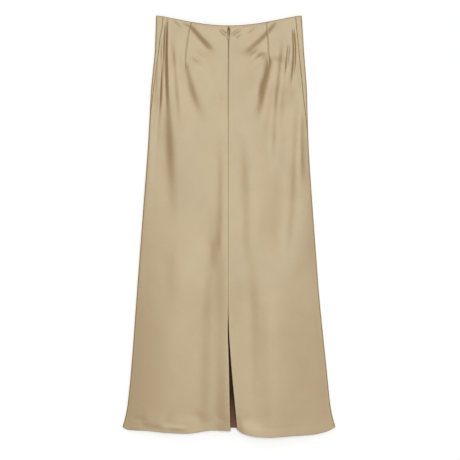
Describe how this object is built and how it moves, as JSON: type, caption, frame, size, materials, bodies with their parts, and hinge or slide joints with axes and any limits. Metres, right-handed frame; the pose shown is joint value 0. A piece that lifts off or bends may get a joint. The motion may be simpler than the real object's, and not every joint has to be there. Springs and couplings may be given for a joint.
{
  "type": "satin maxi skirt",
  "caption": "Long flared satin skirt laid flat back side up, with waist darts, an invisible zip and a centre back slit at the hem.",
  "frame": {"origin": "middle of the laid skirt's box, on the surface that it lies on", "axes": "+X across the skirt to the wearer's right, +Y up the skirt from hem to waist, +Z away from the surface, out of the back of the skirt"},
  "size_m": [0.5, 0.99, 0.0084],
  "materials": {
    "satin": "smooth champagne satin with a soft sheen, duller on the inside",
    "zip_tape": "fine woven polyester tape dyed to match",
    "zip_metal": "satin enamel dyed to match the cloth"
  },
  "bodies": {
    "skirt": {"front_panel": "satin", "back_left_panel": "satin", "back_right_panel": "satin", "zip_tape": "zip_tape", "zip_slider": "zip_metal"},
    "pull": {"zip_pull": "zip_metal"}
  },
  "joints": [
    {"name": "pull_hinge", "type": "hinge", "parent": "skirt", "child": "pull", "pos_m": [-0.0011, 0.4541, 0.006], "axis": [-1, 0, 0], "range_deg": [0, 165]}
  ]
}
